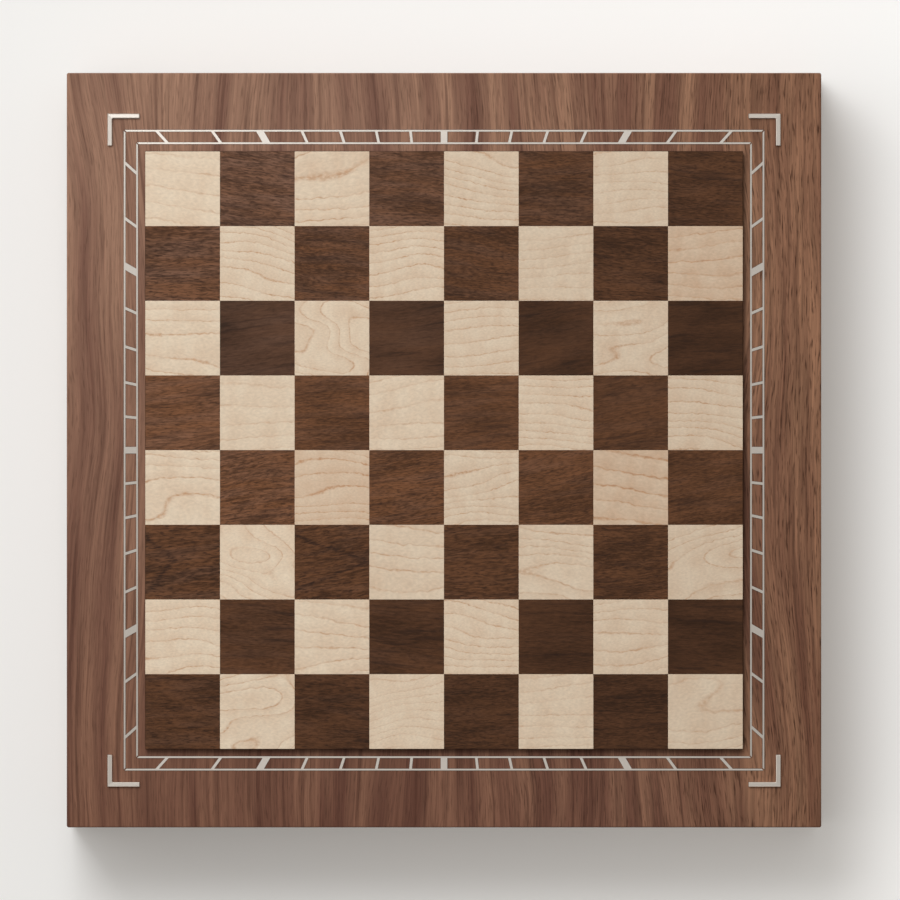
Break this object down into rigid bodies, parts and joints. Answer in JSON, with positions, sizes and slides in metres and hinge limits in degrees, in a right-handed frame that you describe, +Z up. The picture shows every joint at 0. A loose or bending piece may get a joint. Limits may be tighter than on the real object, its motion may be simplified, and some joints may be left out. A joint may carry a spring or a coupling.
{
  "type": "electronic chess computer",
  "caption": "Square walnut chess computer with a raised maple and walnut field, inlaid silver minute track and corner brackets, and a belt-driven magnet gantry inside that moves the men.",
  "frame": {"origin": "middle of the footprint, on the table plane under the rubber feet", "axes": "+Z up, +Y from White's side to Black's side (the top of the picture), +X to White's right"},
  "size_m": [0.455, 0.455, 0.0702],
  "materials": {
    "walnut": "walnut veneer, satin lacquer",
    "dark_veneer": "dark walnut veneer, satin lacquer",
    "light_veneer": "pale figured maple veneer, satin lacquer",
    "board_core": "veneered fibreboard with a dark stained edge",
    "base_board": "black painted fibreboard",
    "silver": "fine brushed, silver anodised",
    "steel": "ground",
    "black_zinc": "black coated",
    "rubber": "matt black",
    "mould": "black moulded",
    "bush": "natural moulded",
    "alloy": "turned",
    "circuit": "green solder resist",
    "chip": "black epoxy",
    "brass": "turned",
    "copper": "enamelled copper winding",
    "cell_wrap": "shrink sleeve",
    "paper": "pressed paper",
    "motor_case": "black coated",
    "plated": "tin plated"
  },
  "bodies": {
    "case": {"top_panel": "walnut", "front_rail": "walnut", "back_rail": "walnut", "left_rail": "walnut", "right_rail": "walnut", "base_plate": "base_board", "base_screws": "black_zinc", "rubber_feet": "rubber", "field_board": "board_core", "light_squares": "light_veneer", "dark_squares": "dark_veneer", "track_front": "silver", "track_right": "silver", "track_back": "silver", "track_left": "silver", "corner_bracket_back_right": "silver", "corner_bracket_back_left": "silver", "corner_bracket_front_left": "silver", "corner_bracket_front_right": "silver", "sensor_board": "circuit", "hall_sensors": "chip", "main_board": "circuit", "main_board_parts": "chip", "board_standoffs": "brass", "board_screws": "steel", "battery_holder": "mould", "battery_cells": "cell_wrap", "speaker_basket": "motor_case", "speaker_cone": "paper", "socket_board": "circuit", "socket_posts": "mould", "usb_socket": "plated", "power_switch": "chip", "shaft_motor": "motor_case", "motor_bracket": "alloy", "front_brackets": "mould", "back_brackets": "mould", "shaft_bearings": "steel", "idler_pins": "steel", "long_rods": "steel", "long_belts": "rubber"},
    "beam": {"beam_end_left": "mould", "beam_end_right": "mould", "beam_bearings": "steel", "cross_rods": "steel", "cross_motor": "motor_case", "cross_belt": "rubber", "cross_idler_pin": "steel"},
    "carriage": {"carriage_block": "mould", "carriage_bushes": "bush", "magnet_pot": "steel", "magnet_coil": "copper"},
    "drive_shaft": {"drive_shaft": "steel", "drive_pulleys": "alloy"},
    "long_idlers": {"idler_pulleys": "alloy"},
    "cross_drive": {"cross_motor_shaft": "steel", "cross_drive_pulley": "alloy"},
    "cross_idler": {"cross_idler_pulley": "alloy"},
    "power_button": {"power_button": "silver"}
  },
  "joints": [
    {"name": "beam_slide", "type": "slide", "parent": "case", "child": "beam", "axis": [0, 1, 0], "range_m": [-0.1575, 0.1575]},
    {"name": "carriage_slide", "type": "slide", "parent": "beam", "child": "carriage", "axis": [1, 0, 0], "range_m": [-0.1575, 0.1575]},
    {"name": "drive_shaft_spin", "type": "hinge", "parent": "case", "child": "drive_shaft", "pos_m": [0, 0.1969, 0.026], "axis": [1, 0, 0], "range_deg": [-1411, 1411]},
    {"name": "long_idlers_spin", "type": "hinge", "parent": "case", "child": "long_idlers", "pos_m": [0, -0.1969, 0.026], "axis": [1, 0, 0], "range_deg": [-1411, 1411]},
    {"name": "cross_drive_spin", "type": "hinge", "parent": "beam", "child": "cross_drive", "pos_m": [-0.177, -0.035, 0.0429], "axis": [0, 0, 1], "range_deg": [-1770, 1770]},
    {"name": "cross_idler_spin", "type": "hinge", "parent": "beam", "child": "cross_idler", "pos_m": [0.177, -0.035, 0.0429], "axis": [0, 0, 1], "range_deg": [-1770, 1770]},
    {"name": "power_button_press", "type": "slide", "parent": "case", "child": "power_button", "axis": [0, -1, 0], "range_m": [0, 0.001], "stiffness_N_per_m": 600, "springref_m": -0.001}
  ],
  "couplings": [
    {"joint": "drive_shaft_spin", "follows": "beam_slide", "rad_per_m": -156.25},
    {"joint": "long_idlers_spin", "follows": "beam_slide", "rad_per_m": -156.25},
    {"joint": "cross_drive_spin", "follows": "carriage_slide", "rad_per_m": -196.08},
    {"joint": "cross_idler_spin", "follows": "carriage_slide", "rad_per_m": -196.08}
  ]
}
